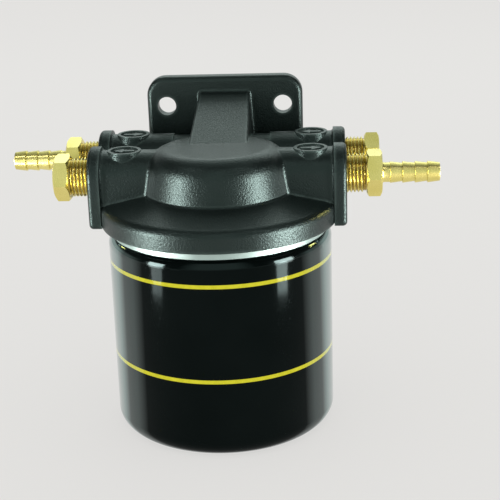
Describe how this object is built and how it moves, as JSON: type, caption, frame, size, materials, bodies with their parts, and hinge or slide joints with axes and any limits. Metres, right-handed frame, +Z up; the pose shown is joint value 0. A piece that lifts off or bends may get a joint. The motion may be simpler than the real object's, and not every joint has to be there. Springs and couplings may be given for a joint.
{
  "type": "fuel filter assembly",
  "caption": "Spin-on fuel filter: a cast bracket head with hose barbs and port plugs, and a screw-on canister holding a pleated element.",
  "frame": {"origin": "on the canister's axis, at the flat base that it stands on", "axes": "+Z up along the canister's axis, +X along the ports towards the outlet hose barb, +Y out of the bracket's mounting face"},
  "size_m": [0.1834, 0.1065, 0.1391],
  "materials": {
    "black_casting": "black textured coating, satin",
    "black_enamel": "gloss black with two yellow stripes",
    "plated_steel": "zinc plated",
    "tinplate": "bright tinplate",
    "spring_steel": "oiled spring wire",
    "turned_brass": "bright turned brass",
    "black_rubber": "matt",
    "filter_paper": "resin-treated paper"
  },
  "bodies": {
    "head": {"filter_head": "black_casting", "threaded_nipple": "plated_steel", "inlet_hose_fitting": "turned_brass", "outlet_hose_fitting": "turned_brass", "inlet_port_plug": "turned_brass", "outlet_port_plug": "turned_brass"},
    "sealing_ring": {"can_gasket": "black_rubber"},
    "canister": {"can_shell": "black_enamel", "retainer_plate": "plated_steel", "tapping_plate": "plated_steel", "element_seal": "black_rubber", "upper_end_cap": "tinplate", "lower_end_cap": "tinplate", "centre_tube": "tinplate", "filter_media": "filter_paper", "element_spring": "spring_steel"}
  },
  "joints": [
    {"name": "canister_drop", "type": "slide", "parent": "head", "child": "sealing_ring", "axis": [0, 0, -1], "range_m": [0, 0.0082]},
    {"name": "canister_turn", "type": "hinge", "parent": "sealing_ring", "child": "canister", "pos_m": [0, 0, 0.05], "axis": [0, 0, -1], "range_deg": [0, 1620]}
  ],
  "couplings": [
    {"joint": "canister_drop", "follows": "canister_turn", "m_per_rad": 0.00028875}
  ]
}
